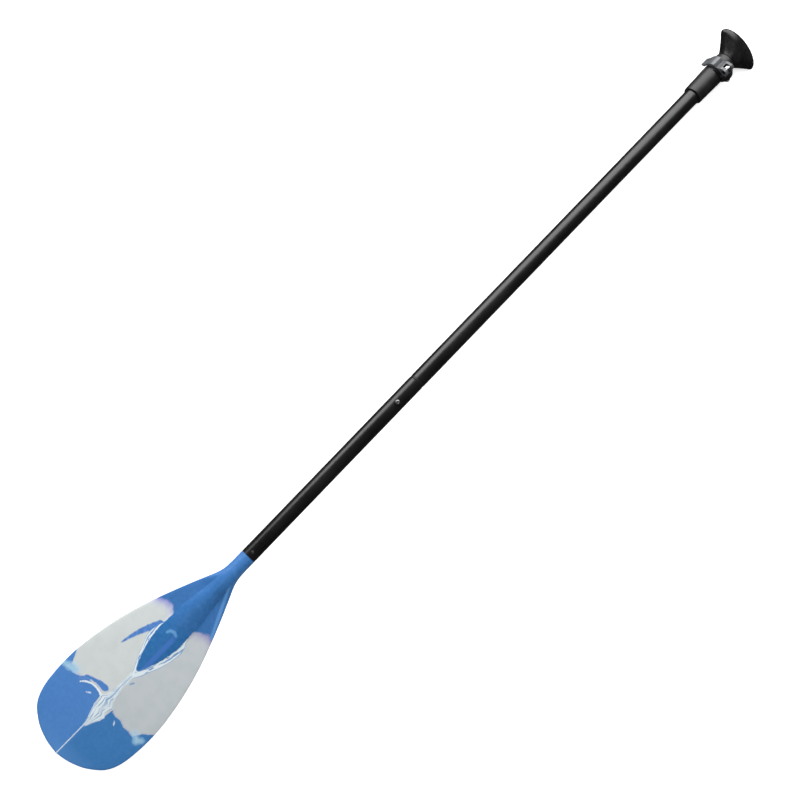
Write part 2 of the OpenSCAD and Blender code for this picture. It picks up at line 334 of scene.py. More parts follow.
# Half widths as shares of the widest, at shares of the blade length. The points were picked and
# rounded by hand from half widths that a scratch program measured on the photograph.
OUTLINE = [(0, 0.008), (0.0045, 0.19), (0.013, 0.345), (0.028, 0.518), (0.048, 0.662),
           (0.073, 0.797), (0.106, 0.894), (0.153, 0.96), (0.213, 0.991), (0.27, 1), (0.34, 0.985),
           (0.425, 0.927), (0.51, 0.843), (0.596, 0.729), (0.681, 0.588), (0.766, 0.43),
           (0.843, 0.276), (0.885, 0.19), (0.915, 0.152), (0.95, 0.141), (1, 0.14)]


def half_w(x):
    s, last = x / NECK_X, len(OUTLINE) - 1
    if s >= 0.95:
        return TUBE_R
    i = max(k for k in range(last) if s >= OUTLINE[k][0] or k == 0)
    def slope(k):
        if k == 0:
            return (OUTLINE[1][1] - OUTLINE[0][1]) / (OUTLINE[1][0] - OUTLINE[0][0])
        if k == last:
            return 0.0
        return (OUTLINE[k + 1][1] - OUTLINE[k - 1][1]) / (OUTLINE[k + 1][0] - OUTLINE[k - 1][0])
    w = OUTLINE[i + 1][0] - OUTLINE[i][0]
    t = (s - OUTLINE[i][0]) / w
    v = ((2 * t ** 3 - 3 * t * t + 1) * OUTLINE[i][1] + (t ** 3 - 2 * t * t + t) * w * slope(i)
         + (3 * t * t - 2 * t ** 3) * OUTLINE[i + 1][1] + (t ** 3 - t * t) * w * slope(i + 1))
    return max(BLADE_HALF * v, TUBE_R if x > 0.8 * NECK_X else 0)


def drop(x):
    v = BEND_X - x
    if abs(v) >= BEND_HALF:
        return math.tan(CANT) * max(0, v)
    return math.tan(CANT) * (v + BEND_HALF) ** 2 / (4 * BEND_HALF)


def spine_w(x):
    if x <= SPINE_TIP:
        return 0.01
    if x < SPINE_FULL:
        return SPINE_HALF * math.sin(math.pi / 2 * (x - SPINE_TIP) / (SPINE_FULL - SPINE_TIP)) ** 0.8
    return SPINE_HALF + (TUBE_R - SPINE_HALF) * smooth(SPINE_FULL, 425, x)


def hump(y, w, p=0.8):
    return 0.0 if abs(y) >= w else (1 - (y / w) ** 2) ** p


def plate_half(u):
    e = abs(u) ** 2.2
    return (PLATE_T * (1 - e) + EDGE_T * e) / 2 * math.sqrt(max(0, 1 - abs(u) ** 24))


def face_z(x, u):
    y, m = u * half_w(x), smooth(FLAT_END, ROUND_X, x)
    climb = max(0, (min(x, ROUND_X) - SPINE_TIP) / (ROUND_X - SPINE_TIP))
    rise = (TUBE_R - PLATE_T / 2) * climb ** 1.15
    plate = plate_half(u) - DIHEDRAL * abs(y) + rise * hump(y, spine_w(x))
    return (1 - m) * plate + m * TUBE_R * math.sqrt(max(0, 1 - u * u)) - drop(x)


def rear_z(x, u):
    y, m = u * half_w(x), smooth(FLAT_END, ROUND_X, x)
    rise = (TUBE_R - PLATE_T / 2) * smooth(250, ROUND_X, x)
    plate = -plate_half(u) - DIHEDRAL * abs(y) - rise * hump(y, max(12, TUBE_R * 1.1))
    return (1 - m) * plate - m * TUBE_R * math.sqrt(max(0, 1 - u * u)) - drop(x)


# ---------------------------------------------------------------- blade print and a painted edge highlight, in mm on the blade
# blade print, in mm on the blade
# The points in print_and_highlight_fields were read by eye off enlarged parts of the photograph, turned into blade
# millimetres by a scratch program, then rounded and in part moved by hand.
def stroke(x, y, pts):
    """Signed distance to a brush stroke; each point is x, y, half width."""
    best = np.full(x.shape, 1e3)
    for (ax, ay, ar), (bx, by, br) in zip(pts, pts[1:]):
        t = np.clip(((x - ax) * (bx - ax) + (y - ay) * (by - ay)) / ((bx - ax) ** 2 + (by - ay) ** 2), 0, 1)
        d = np.hypot(x - ax - t * (bx - ax), y - ay - t * (by - ay))
        best = np.minimum(best, d - (ar + (br - ar) * t))
    return best


def along(v, pairs):
    return np.interp(v, [p[0] for p in pairs], [p[1] for p in pairs])


def print_and_highlight_fields(x, y):
    a, left = np.abs(y), y > 0
    w = np.array([spine_w(v) for v in x])
    slant = np.array([spine_w(v + 1) for v in x]) - w
    leaf = (a - w * 0.9) / np.sqrt(1 + np.minimum(9, slant ** 2))
    leaf = np.where(x < SPINE_TIP, np.hypot(x - SPINE_TIP, y), leaf)
    rim = np.where(left, along(x, [(190, 0.5), (203, 5.6), (220, 15), (235, 20), (252, 27), (262, 30.5), (275, 30.5),
                                   (290, 27), (302, 21), (310, 15)]),
                   along(x, [(184, 0.5), (200, 12), (221, 19.5), (236, 26.5), (258, 31.5), (277, 34.5), (289, 31.5),
                             (301, 24), (312, 18)]))
    inner = np.where(x < SPINE_TIP, 0.0, w * 0.9)
    band = (a - inner) / np.maximum(0.5, rim - inner)
    top = np.where(left, along(a, [(0, 312), (20, 311), (24, 319), (33, 327), (46, 328), (58, 322), (70, 316)]),
                   along(a, [(0, 312), (18, 314), (29, 325), (46, 335), (55, 332), (65, 326)]))
    low = np.where(left, along(a, [(0, 74), (3, 83), (8, 98), (12, 110), (14, 124), (16, 131), (30, 134.5), (44, 133),
                                   (62, 128), (73, 123), (86, 124), (90, 138), (98, 155)]),
                   along(a, [(0, 74), (5, 80), (10, 90), (17, 106), (17.5, 124), (21, 121), (28, 119), (40, 120),
                             (53, 114), (62, 115.5), (74, 113), (83, 128), (98, 141)]))
    fl = along(x, [(66, 0.4), (73, 0.6), (83, 3.2), (98, 8.4), (110, 12), (122, 11.5), (130, 15), (136, 8), (150, 5.5),
                   (175, 3.5), (200, 3.5)])
    fr = along(x, [(66, 0.4), (73, 4.5), (87, 10.5), (104, 17.5), (110, 13), (126, 16), (134, 8), (148, 7), (165, 3.5),
                   (185, 4), (200, 7)])
    mid, half = (fl - fr) / 2, (fl + fr) / 2
    fan = (y - mid) / half
    return {
        "leaf": leaf, "band": np.clip(band, -1, 3), "top": x - top, "low": low - x, "px": x, "py": y,
        "fan": np.clip(fan, -3, 3), "fan_in": np.abs(y - mid) - half,
        "arch": stroke(x, y, [(125, 61, 1.2), (134.5, 54.5, 2), (139.5, 44, 2.3), (142, 34, 2.9), (143, 25, 4.4),
                              (143, 17.5, 5.2)]),
        "gap": stroke(x, y, [(124, 60, 1.5), (131, 52, 2.5), (134, 46, 1.5)]),
        "arc": stroke(x, y, [(120, 56.5, 0.8), (127, 50.5, 1.4), (132, 41, 1.5), (133.4, 30, 1.5), (132, 21, 1.8),
                             (129, 13, 2.6)]),
        "streak": stroke(x, y, [(219, 52.2, 0.3), (229, 50.3, 1.6), (240, 47.4, 3), (256, 42.4, 4.2), (272, 35.5, 5.4),
                                (290, 27, 6)]),
        "dash": np.minimum(stroke(x, y, [(114.5, 37, 0.7), (117, 33, 1.3), (119.5, 28.5, 1)]),
                           stroke(x, y, [(112, -34, 1.2), (105, -38, 0.7)])),
        "speck": np.minimum(stroke(x, y, [(176, -8.5, 1), (181, -10, 1.6), (186, -13.5, 0.8)]),
                            stroke(x, y, [(166, -7, 0.5), (154, -8, 1)])),
        "hook": stroke(x, y, [(288, 9, 1.5), (294, 6.5, 2.2), (296.5, 0, 2.6), (293.5, -7, 1.6)]),
        "pale": np.minimum(stroke(x, y, [(124, 98, 2), (126, 89, 5), (129, 75, 2)]),
                           stroke(x, y, [(119, -76, 2), (113, -84, 4.5), (119, -91, 2)])),
        # painted highlight: a light strip along the right edge near the neck, where the rounded edge catches the light
        "painted_edge_highlight": stroke(x, y, [(423, -10, 1.2), (398, -21.5, 2.2), (373, -33, 2.6), (333, -52, 2.4)]),
    }


def blade_material():
    m = Mat("blade_print", Specular_IOR_Level=0.45, Coat_Weight=0.1, Coat_Roughness=0.25)
    big, mid, fine = m.noise(45, 3, 0.55), m.noise(150, 3, 0.6), m.noise(520, 2, 0.5)
    px, py = m.attr("px"), m.attr("py")

    def wob(amp_big, amp_mid, amp_fine=0.0):
        v = m.math("MULTIPLY_ADD", big, amp_big, -amp_big / 2)
        v = m.math("ADD", v, m.math("MULTIPLY_ADD", mid, amp_mid, -amp_mid / 2))
        return m.math("ADD", v, m.math("MULTIPLY_ADD", fine, amp_fine, -amp_fine / 2))

    def put(col, field, moved, a, b, over, strength=1.0):
        f = m.step(m.math("ADD", m.attr(field), moved), a, b)
        return m.mix(m.math("MULTIPLY", f, strength), col, over)

    def streaks(along_scale, across, across_scale, seed):
        v = m.node("ShaderNodeCombineXYZ", ins={"X": m.math("MULTIPLY", px, along_scale),
                                                "Y": m.math("MULTIPLY", across, across_scale), "Z": seed})
        return m.noise(1.0, 2, 0.5, v)

    # painted shading: the left half of the blade (+y) is coloured lighter than the right half, as light from the left
    # falls on the two faces of the ridge; the white, the lower blue and the violet fringe take this split
    side = m.step(py, -12, 12)
    white = m.mix(side, srgb(186, 192, 195), srgb(196, 202, 201))
    white = m.mix(m.step(big, 0.35, 0.75), white, m.mix(side, srgb(180, 188, 191), srgb(190, 197, 196)))
    low_blue = m.mix(side, srgb(56, 114, 172), srgb(70, 121, 185))
    low_blue = m.mix(m.step(mid, 0.3, 0.8), low_blue, m.mix(side, srgb(64, 121, 180), srgb(75, 127, 191)))
    low_blue = m.mix(m.step(px, 40, 0), low_blue, srgb(78, 130, 190))
    top_blue = m.mix(m.step(px, 330, 440), srgb(48, 102, 160), srgb(54, 106, 168))
    # painted shade: near the neck a band just right of the centre is coloured darker, as the spine's right flank turns
    # away from the light from the left
    top_blue = m.mix(m.math("MULTIPLY", m.step(py, 40, 10), m.step(m.math("ABSOLUTE", m.math("ADD", py, 8)), 22, 6)),
                     top_blue, srgb(46, 100, 156))
    top_blue = m.mix(m.step(mid, 0.35, 0.85), top_blue, srgb(58, 112, 174))
    small = wob(0, 2.6, 1.6)
    col = white
    col = put(col, "pale", wob(2, 2), 14, 0, srgb(176, 202, 224), 0.7)
    col = put(col, "low", wob(5, 6, 2), -5, 4, srgb(120, 140, 200), 0.7)
    col = put(col, "low", wob(3, 6, 2), -1.0, 1.0, low_blue)
    col = put(col, "gap", small, 0.8, -0.8, low_blue)
    cyan = m.mix(m.step(mid, 0.4, 0.7), srgb(140, 186, 216), srgb(180, 208, 218))
    col = put(col, "pale", wob(6, 11, 3), 6, -2, cyan, 0.85)
    col = put(col, "arch", wob(0, 4.0, 2.6), 1.8, 0.4, srgb(120, 138, 196), 0.8)
    col = put(col, "arch", wob(0, 4.0, 2.6), 0.7, -0.5, low_blue)
    col = put(col, "arc", small, 0.8, -0.5, srgb(214, 224, 228))
    col = put(col, "dash", small, 0.9, -0.5, srgb(200, 210, 228))
    # the upper blue with its soft violet fringe
    violet = m.math("MULTIPLY", m.step(m.math("ADD", m.attr("top"), wob(20, 14, 2)), -26, 0),
                    m.step(m.math("ABSOLUTE", py), 20, 44, 0.35, 0.8))
    # the fringe's colours also take the painted left-right shading split
    outer = m.mix(side, srgb(158, 156, 190), srgb(172, 174, 208))
    inner = m.mix(side, srgb(122, 118, 176), srgb(112, 114, 196))
    col = m.mix(violet, col, m.mix(m.step(m.attr("top"), -14, -1), outer, inner))
    col = put(col, "top", wob(8, 9, 3), -3.5, 2.5, top_blue)
    # painted highlight along the rounded right edge near the neck
    col = put(col, "painted_edge_highlight", wob(1, 1.5), 2.0, -1.5, srgb(92, 146, 205), 0.75)
    streak_blue = m.mix(m.step(mid, 0.35, 0.7), srgb(66, 114, 182), srgb(90, 134, 196))
    col = put(col, "streak", wob(2, 2.5, 1.2), 1.6, -1.0, streak_blue)
    col = put(col, "speck", small, 0.8, -0.8, srgb(96, 140, 186), 0.8)
    # ragged white fan with fine blue lines drawn down to a point
    fan = m.attr("fan")
    finer = streaks(0.055, fan, 8.5, 5.1)
    drift = m.math("MULTIPLY_ADD", fan, 2.4, m.math("MULTIPLY", streaks(0.022, fan, 0.9, 0.3), 2.0))
    rays = m.step(m.math("PINGPONG", drift, 0.5), 0.15, 0.05)
    rays = m.math("MULTIPLY", rays, m.step(streaks(0.05, fan, 3.0, 7.7), 0.4, 0.5))
    ink = m.math("MAXIMUM", rays, m.math("MULTIPLY", m.step(finer, 0.53, 0.6), 0.6))
    ink = m.math("MULTIPLY", ink, m.step(px, 210, 165, 0.6, 0.95))
    spine = m.step(m.math("ABSOLUTE", m.math("ADD", fan, m.math("MULTIPLY_ADD", mid, 0.5, -0.25))), 0.24, 0.1)
    ink = m.math("MAXIMUM", ink, m.math("MULTIPLY", m.math("MULTIPLY", spine, 0.75), m.step(px, 104, 130)))
    fan_col = m.mix(ink, srgb(212, 222, 227), m.mix(m.step(fine, 0.4, 0.7), srgb(96, 140, 184), srgb(124, 158, 184)))
    barbs = m.math("MULTIPLY_ADD", finer, 10.0, -5.0)
    edge = m.math("ADD", m.attr("fan_in"), m.math("ADD", barbs, small))
    col = m.mix(m.math("MULTIPLY", m.step(edge, 0.6, -0.6), m.step(px, 203, 198)), col, fan_col)
    # crinkled outline round the leaf
    band = m.attr("band")
    crease = streaks(0.05, band, 2.4, 9.7)
    off = m.math("ADD", m.math("SUBTRACT", band, 0.96), m.math("MULTIPLY_ADD", crease, 0.5, -0.25))
    contour = m.step(m.math("ABSOLUTE", off), 0.14, 0.05)
    dark = m.math("MAXIMUM", m.math("MULTIPLY", contour, 0.8), m.step(crease, 0.53, 0.6))
    ring = m.mix(m.math("MULTIPLY", dark, 0.85), srgb(214, 224, 229), srgb(84, 128, 178))
    shown = m.math("MULTIPLY", m.step(m.math("ADD", band, m.math("MULTIPLY_ADD", crease, 0.4, -0.2)), 1.1, 1.0),
                   m.math("MULTIPLY", m.step(px, 312, 300), m.step(px, 186, 194)))
    col = m.mix(shown, col, ring)
    leaf = m.math("ADD", m.attr("leaf"), wob(0, 3.0, 1.4))
    inside = m.math("MULTIPLY", m.step(leaf, 0.5, -0.5), m.step(px, 201, 206))
    leaf_blue = m.mix(m.step(mid, 0.3, 0.8), srgb(38, 98, 156), srgb(48, 110, 168))
    leaf_blue = m.mix(m.math("MULTIPLY", m.step(m.math("ABSOLUTE", m.math("ADD", py, 7)), 7, 2), m.step(px, 300, 280)),
                      leaf_blue, srgb(62, 112, 184))
    leaf_blue = m.mix(m.step(px, 296, 322), leaf_blue, top_blue)
    col = m.mix(inside, col, leaf_blue)
    col = put(col, "hook", wob(1, 3, 1), 2.2, -1.2, srgb(104, 158, 206), 0.75)
    # thin pale line on the crease, down to the tip
    centre = m.math("ABSOLUTE", m.math("ADD", py, wob(0, 0.8, 0.5)))
    thin = m.math("MULTIPLY", m.step(centre, 0.9, 0.4), m.step(px, 80, 70))
    col = m.mix(thin, col, srgb(205, 218, 230))
    m.set("Base Color", col)
    m.set("Roughness", m.math("MULTIPLY_ADD", mid, 0.1, m.math("MULTIPLY_ADD", m.noise(1500, 2, 0.5), 0.08, 0.3)))
    m.set("Normal", m.bump(m.math("ADD", m.noise(700, 2, 0.5), m.math("MULTIPLY", big, 2.0)), 0.1, 0.0002))
    return m.m


def build_blade(mat):
    def spread(a, b, n):
        return [a + (b - a) * k / n for k in range(n)]
    xs = [0, 0.4, 0.9, 1.5, 2.2, 3, 4, 5.2, 6.6, 8] + spread(9.5, 60, 34) + spread(60, 200, 84)
    xs += spread(200, 440, 132) + spread(440, NECK_X - 0.6, 12) + [NECK_X - 0.6, NECK_X - 0.25]
    n = 76
    us = [0.72 * t + 0.28 * math.sin(t * math.pi / 2) for t in [2 * k / n - 1 for k in range(n + 1)]]
    for e in (0.994, 0.998, 0.9995):
        us = [-e] + us + [e]
    us = sorted(set(us))
    bm = bmesh.new()
    rows, flat = [], []
    for x in xs:
        hw = half_w(x)
        k = len(us)
        ring = [(x, u * hw, face_z(x, u)) for u in us]
        ring += [(x, us[i] * hw, rear_z(x, us[i])) for i in range(k - 2, 0, -1)]
        rows.append([bm.verts.new(p) for p in ring])
        flat += ring
    for x, r in ((NECK_X, TUBE_R - 0.35), (NECK_X, BORE_R - 0.1), (NECK_X + 60, BORE_R - 0.1)):
        ring = [(x, u * r, math.sqrt(max(0, 1 - u * u)) * r) for u in us]
        ring += [(x, us[i] * r, -math.sqrt(max(0, 1 - us[i] ** 2)) * r) for i in range(len(us) - 2, 0, -1)]
        rows.append([bm.verts.new(p) for p in ring])
        flat += ring
    loft(bm, rows)
    bm.faces.new(rows[0])
    bm.faces.new(rows[-1])
    ob = finish_mesh(bm, "blade_shell", "shaft", mat, ["blade"], sharp=38)
    pts = np.array(flat)
    for name, values in print_and_highlight_fields(pts[:, 0], pts[:, 1]).items():
        at = ob.data.attributes.new(name, "FLOAT", "POINT")
        at.data.foreach_set("value", values.astype(np.float32))
    return ob


blade_mat = blade_material()
build_blade(blade_mat)

# ---------------------------------------------------------------- shaft
black_tube = satin_tube("black_tube")
ferrule_mat = moulded("ferrule_black", (0.006, 0.006, 0.0065), 0.38)
collar_mat = moulded("collar_black", (0.006, 0.006, 0.0065), 0.4)
grip_mat = moulded("grip_black", (0.0035, 0.0035, 0.004), 0.27, 1500, 0.00012, spec=0.4)
lever_mat = moulded("lever_grey", srgb(70, 72, 75), 0.28, 2600, 0.00006, spec=0.75, wear=0.12)
rivet_mat = moulded("black_rivet", (0.012, 0.012, 0.012), 0.3, 3000, 0.00003)
saddle_mat = moulded("saddle_black", (0.02, 0.02, 0.022), 0.4)
bolt_mat = steel("bolt_steel", (0.85, 0.86, 0.88), 0.2)
button_mat = steel("button_steel", (0.62, 0.63, 0.65), 0.3)
spring_mat = steel("spring_steel", (0.6, 0.61, 0.63), 0.3)
plug_mat = moulded("rubber_plug", (0.02, 0.02, 0.02), 0.75, 900, 0.0002)
foam_mat = moulded("pale_foam", (0.75, 0.75, 0.71), 0.85, 700, 0.0006, wear=0.05)

bm = lathe(tube_profile(NECK_X, JOINT_X, TUBE_R, BORE_R), 128)
lower = finish_mesh(bm, "lower_tube_skin", "shaft", black_tube.m, ["lower_tube"])
hole = lathe([(5, 0), (5, 4.6), (20, 4.6), (20, 0)], 64, (BUTTON_X, 0, 0), "z")
cut(lower, hole)
mark_sharp(lower)

bm = lathe(tube_profile(JOINT_X + 4, TUBE_END, TUBE_R, BORE_R, seg=20), 128)
finish_mesh(bm, "middle_tube_skin", "shaft", black_tube.m, ["middle_tube"])

# ferrule: the sleeve inside the joint, whose shoulder shows between the tubes
outer = rounded([(799, 10.7), (799, 11.4), (801.5, 12.69), (884, 12.69), (884, 13.1), (885.2, 13.55), (887.6, 13.7),
                 (888, 13.4), (888, 12.73), (943, 12.73), (944, 12.2), (944, 10.7)], 0.25, 2)
bm = lathe(outer + [(943.8, 10.5), (880, 10.5), (799.2, 10.5)], 96)
ferrule = finish_mesh(bm, "ferrule_sleeve", "shaft", ferrule_mat.m, ["ferrule"])
hole = lathe([(5, 0), (5, 4.5), (20, 4.5), (20, 0)], 64, (BUTTON_X, 0, 0), "z")
cut(ferrule, hole)
mark_sharp(ferrule)

# snap button: a polished pin with a dimple in its crown
prof = rounded([(7.65, 0), (7.65, 5.2), (8.85, 5.2), (8.85, 4.2), (15.6, 4.2), (16.75, 3.2), (16.8, 1.4), (16.4, 1.15),
                (14.6, 1.0), (14.4, 0)], 0.35, 4)
bm = lathe(prof, 72, (BUTTON_X, 0, 0), "z")
finish_mesh(bm, "snap_button_cap", "button", button_mat.m, ["snap_button"], sharp=50)

# the V spring under it: its upper leaf sits under the button, its lower leaf on the ferrule
mid = [(846, -8.65)] + [(x, -8.65) for x in range(840, 815, -6)]
mid += [(814.5 - 4.0 * math.sin(math.pi * k / 16) ** 0.6, -0.7 - 7.95 * math.cos(math.pi * k / 16)) for k in range(17)]
mid += [(x, 7.25) for x in range(822, 846, 4)] + [(846, 7.25)]
bm = bmesh.new()
rings = []
for k, (px, pz) in enumerate(mid):
    (ax, az), (bx, bz) = mid[max(0, k - 1)], mid[min(len(mid) - 1, k + 1)]
    run = math.hypot(bx - ax, bz - az)
    nx, nz = -(bz - az) / run * 0.35, (bx - ax) / run * 0.35
    wide = 4.0 if k not in (0, len(mid) - 1) else 3.1
    rings.append([bm.verts.new((px + s * nx, w * wide, pz + s * nz)) for s, w in ((-1, -1), (-1, 1), (1, 1), (1, -1))])
loft(bm, rings)
bm.faces.new(rings[0])
bm.faces.new(rings[-1][::-1])
spring = finish_mesh(bm, "snap_spring_leaf", None, spring_mat.m, ["snap_spring"])
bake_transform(spring)

# rivets with a rolled head and a dimple
for name, turn in (("rivet_face", 0), ("rivet_back", math.pi)):
    prof = [(9.4, 0), (9.4, 1.95), (13.95, 1.95), (13.75, 3.0), (14.0, 3.22), (14.5, 3.05), (15.05, 2.3), (15.35, 1.4),
            (15.38, 0.9), (15.2, 0.55), (14.9, 0.35), (14.85, 0)]
    bm = lathe(prof, 56, (RIVET_X, 0, 0), "z")
    bmesh.ops.transform(bm, matrix=Matrix.Rotation(turn, 4, "X"), verts=bm.verts)
    finish_mesh(bm, name + "_head", "shaft", rivet_mat.m, [name], sharp=50)

# ---------------------------------------------------------------- clamp
EARS_X, EAR_R, EAR_Z, SLOT_X = LEVER_X + 2.5, 16.2, 9.8, LEVER_X - 14


def clamp_tool(bm):
    bmesh.ops.transform(bm, matrix=CLAMP_SPACE, verts=bm.verts)
    return bm


def ear_pair():
    """The clamp's tab as sections across it, so its rim is rounded."""
    bm = bmesh.new()
    rows = []
    for y, i in ((-7, 1.0), (-6.85, 0.55), (-6.5, 0.18), (-6.0, 0), (6.0, 0), (6.5, 0.18), (6.85, 0.55), (7, 1.0)):
        pts = [(LEVER_X + 20.6 - i, 12.9), (LEVER_X + 19.4 - i, 13.8)]
        for k in range(45):
            t = math.radians(16 + 132 * k / 44)
            pts.append((EARS_X + (EAR_R - i) * math.cos(t), EAR_Z + (EAR_R - i) * math.sin(t)))
        pts.append((LEVER_X - 11.4 + i, 12.9))
        rows.append([bm.verts.new((x, y, z)) for x, z in pts])
    loft(bm, rows)
    bm.faces.new(rows[0])
    bm.faces.new(rows[-1])
    return bm


def build_collar():
    prof = rounded([(COLLAR_X, 0), (COLLAR_X, 16.2), (COLLAR_X + 1.1, 17.1), (COLLAR_X + 47.5, 18.15),
                    (COLLAR_TOP - 1, 18.15), (COLLAR_TOP, 17.3), (COLLAR_TOP, 0)], 0.8, 4)
    ob = finish_mesh(clamp_tool(lathe(prof, 144)), "collar_shell", "shaft", collar_mat.m, ["clamp_collar"])
    cut(ob, clamp_tool(ear_pair()), "UNION")
    bore = lathe([(1560, 0), (1560, 14.9), (COLLAR_X, 14.5), (COLLAR_X + 0.5, 14.02), (TUBE_END + 0.1, 14.02),
                  (TUBE_END + 0.1, 12.56), (COLLAR_TOP - 0.4, 12.56), (COLLAR_TOP, 12.9), (1660, 13.5), (1660, 0)], 132)
    cut(ob, clamp_tool(bore))
    cut(ob, clamp_tool(box_bm(SLOT_X, SLOT_X + 2.5, -40, 40, 3.7, 60)))
    cut(ob, clamp_tool(box_bm(SLOT_X + 1.5, 1670, -0.75, 0.75, 3.7, 60)))
    hole = lathe([(-20, 0), (-20, BOLT_HOLE_R), (20, BOLT_HOLE_R), (20, 0)], 48, (0, 0, 0), "z")
    bmesh.ops.transform(hole, matrix=Matrix.Translation((LEVER_X, 0, BOLT_R)) @ Matrix.Rotation(math.pi / 2, 4, "X"),
                        verts=hole.verts)
    cut(ob, clamp_tool(hole))
    mark_sharp(ob, 30)
    return ob


build_collar()


def in_clamp(bm, x, y, z):
    """A shape turned about z, set with that axis along the bolt."""
    m = CLAMP_SPACE @ Matrix.Translation((x, y, z)) @ Matrix.Rotation(-math.pi / 2, 4, "X")
    bmesh.ops.transform(bm, matrix=m, verts=bm.verts)
    return bm


THREAD_PITCH = 0.8
threads = []
y = -13.0
while y < -7.4:
    threads += [(y, 2.28), (y + THREAD_PITCH / 2, 2.5)]
    y += THREAD_PITCH
bm = lathe([(-13.3, 0), (-13.3, 2.0)] + threads + [(-7, 2.5), (19.6, 2.5), (19.6, 3.0), (19.8, 3.2), (20.6, 3.2),
          (21.1, 2.9), (21.5, 2.2), (21.6, 0)], 56, (0, 0, 0), "z")
finish_mesh(in_clamp(bm, LEVER_X, 0, BOLT_R), "clamp_bolt_turned", "shaft", bolt_mat.m, ["clamp_bolt"],
            sharp=40)

nut = prism([(4.6 * math.cos(k * math.pi / 3), 4.6 * math.sin(k * math.pi / 3)) for k in range(6)], -11, -7.05, "z")
bmesh.ops.bevel(nut, geom=list(nut.edges), offset=0.35, segments=2, profile=0.5, affect="EDGES")
nut = finish_mesh(in_clamp(nut, LEVER_X, 0, BOLT_R), "clamp_nut_hex", "shaft", bolt_mat.m, ["clamp_nut"])
hole = lathe([(-14, 0), (-14, PIN_BORE_R), (0, PIN_BORE_R), (0, 0)], 48, (0, 0, 0), "z")
cut(nut, in_clamp(hole, LEVER_X, 0, BOLT_R))
mark_sharp(nut)

bm = lathe(rounded([(LEVER_X - 8.8, 0), (LEVER_X - 8.8, 4), (LEVER_X + 8.8, 4), (LEVER_X + 8.8, 0)], 0.5, 4), 72)
bmesh.ops.transform(bm, matrix=Matrix.Translation((0, PIVOT_Y, PIVOT_Z)), verts=bm.verts)
pin = finish_mesh(bm, "lever_pin_turned", "shaft", bolt_mat.m, ["lever_pin"], sharp=50)
hole = lathe([(-30, 0), (-30, PIN_BORE_R), (19.55, PIN_BORE_R), (19.55, 3.3), (30, 3.3), (30, 0)], 48, (0, 0, 0), "z")
cut(pin, in_clamp(hole, LEVER_X, 0, BOLT_R))
mark_sharp(pin)

bm = box_bm(LEVER_X - 8.6, LEVER_X + 8.6, 7.02, 9.02, BOLT_R - 4.1, BOLT_R + 3.8)
bmesh.ops.bevel(bm, geom=list(bm.edges), offset=0.5, segments=3, profile=0.5, affect="EDGES")
saddle = finish_mesh(clamp_tool(bm), "cam_saddle_pad", "shaft", saddle_mat.m, ["cam_saddle"])
hole = lathe([(-30, 0), (-30, BOLT_HOLE_R), (30, BOLT_HOLE_R), (30, 0)], 48, (0, 0, 0), "z")
cut(saddle, in_clamp(hole, LEVER_X, 0, BOLT_R))
mark_sharp(saddle)


# lever: one outline across the shaft, wide at the fork and narrower at the finger tab
def lever_outline():
    def on(r, deg):
        return (r * math.sin(math.radians(deg)), r * math.cos(math.radians(deg)))
    cam_y = PIVOT_Y - 0.8 * math.cos(CLAMP_TURN)
    cam_z = PIVOT_Z - 0.8 * math.sin(CLAMP_TURN)
    cam = [(cam_y + 6.4 * math.cos(math.radians(d)), cam_z + 6.4 * math.sin(math.radians(d)))
           for d in range(62, 298, 8)]
    outer = [on(22.8 + 2.1 * smooth(80, 34, d), d) for d in range(90, 30, -4)]
    blend_out = [on(24.7, 28.5), on(23.8, 25), on(21.7, 17.5), (5.0, 20.4), (3.7, 21.6), (2.0, 24.6), (-0.8, 27.6),
                 (-3.6, 30.0)]
    inner = [on(19.6, d) for d in range(3, 91, 5)]
    tab = [(19.5, -2.8), (20.6, -5.0), (23.0, -6.9), (25.2, -7.2), (26.3, -6.2), (26.1, -4.6), (24.2, -2.2)]
    return outer + blend_out + cam + [(-4.6, 20.6), (-2.0, 19.9)] + inner + tab


def lever_width(y, z):
    along = math.degrees(math.atan2(y, z))
    return 9.0 - 1.6 * smooth(70, 108, along)


def build_lever():
    pts = lever_outline()
    bm = bmesh.new()
    cols = []
    for p in pts:
        w = lever_width(*p)
        cols.append([bm.verts.new((LEVER_X + s * w, p[0], p[1])) for s in (-1, 1)])
    n = len(cols)
    for k in range(n):
        a, b = cols[k], cols[(k + 1) % n]
        bm.faces.new((a[0], a[1], b[1], b[0]))
    side = [bm.faces.new([c[0] for c in cols]), bm.faces.new([c[1] for c in cols][::-1])]
    rim = [e for f in side for e in f.edges]
    bmesh.ops.bevel(bm, geom=rim, offset=0.9, segments=3, profile=0.55, affect="EDGES", clamp_overlap=True)
    ob = finish_mesh(bm, "lever_shell", "lever", lever_mat.m, ["clamp_lever"])
    hole = lathe([(LEVER_X - 30, 0), (LEVER_X - 30, PIVOT_R), (LEVER_X + 30, PIVOT_R), (LEVER_X + 30, 0)], 72)
    bmesh.ops.transform(hole, matrix=Matrix.Translation((0, PIVOT_Y, PIVOT_Z)), verts=hole.verts)
    cut(ob, hole)
    window = box_bm(LEVER_X - 4.4, LEVER_X + 4.4, PIVOT_Y - 20, PIVOT_Y + 8.4, PIVOT_Z - 12, PIVOT_Z + 18)
    bmesh.ops.bevel(window, geom=[e for e in window.edges if abs(e.verts[0].co.z - e.verts[1].co.z) > 5],
                    offset=1.2, segments=4, profile=0.5, affect="EDGES")
    cut(ob, window)
    mark_sharp(ob, 28)
    return ob


build_lever()

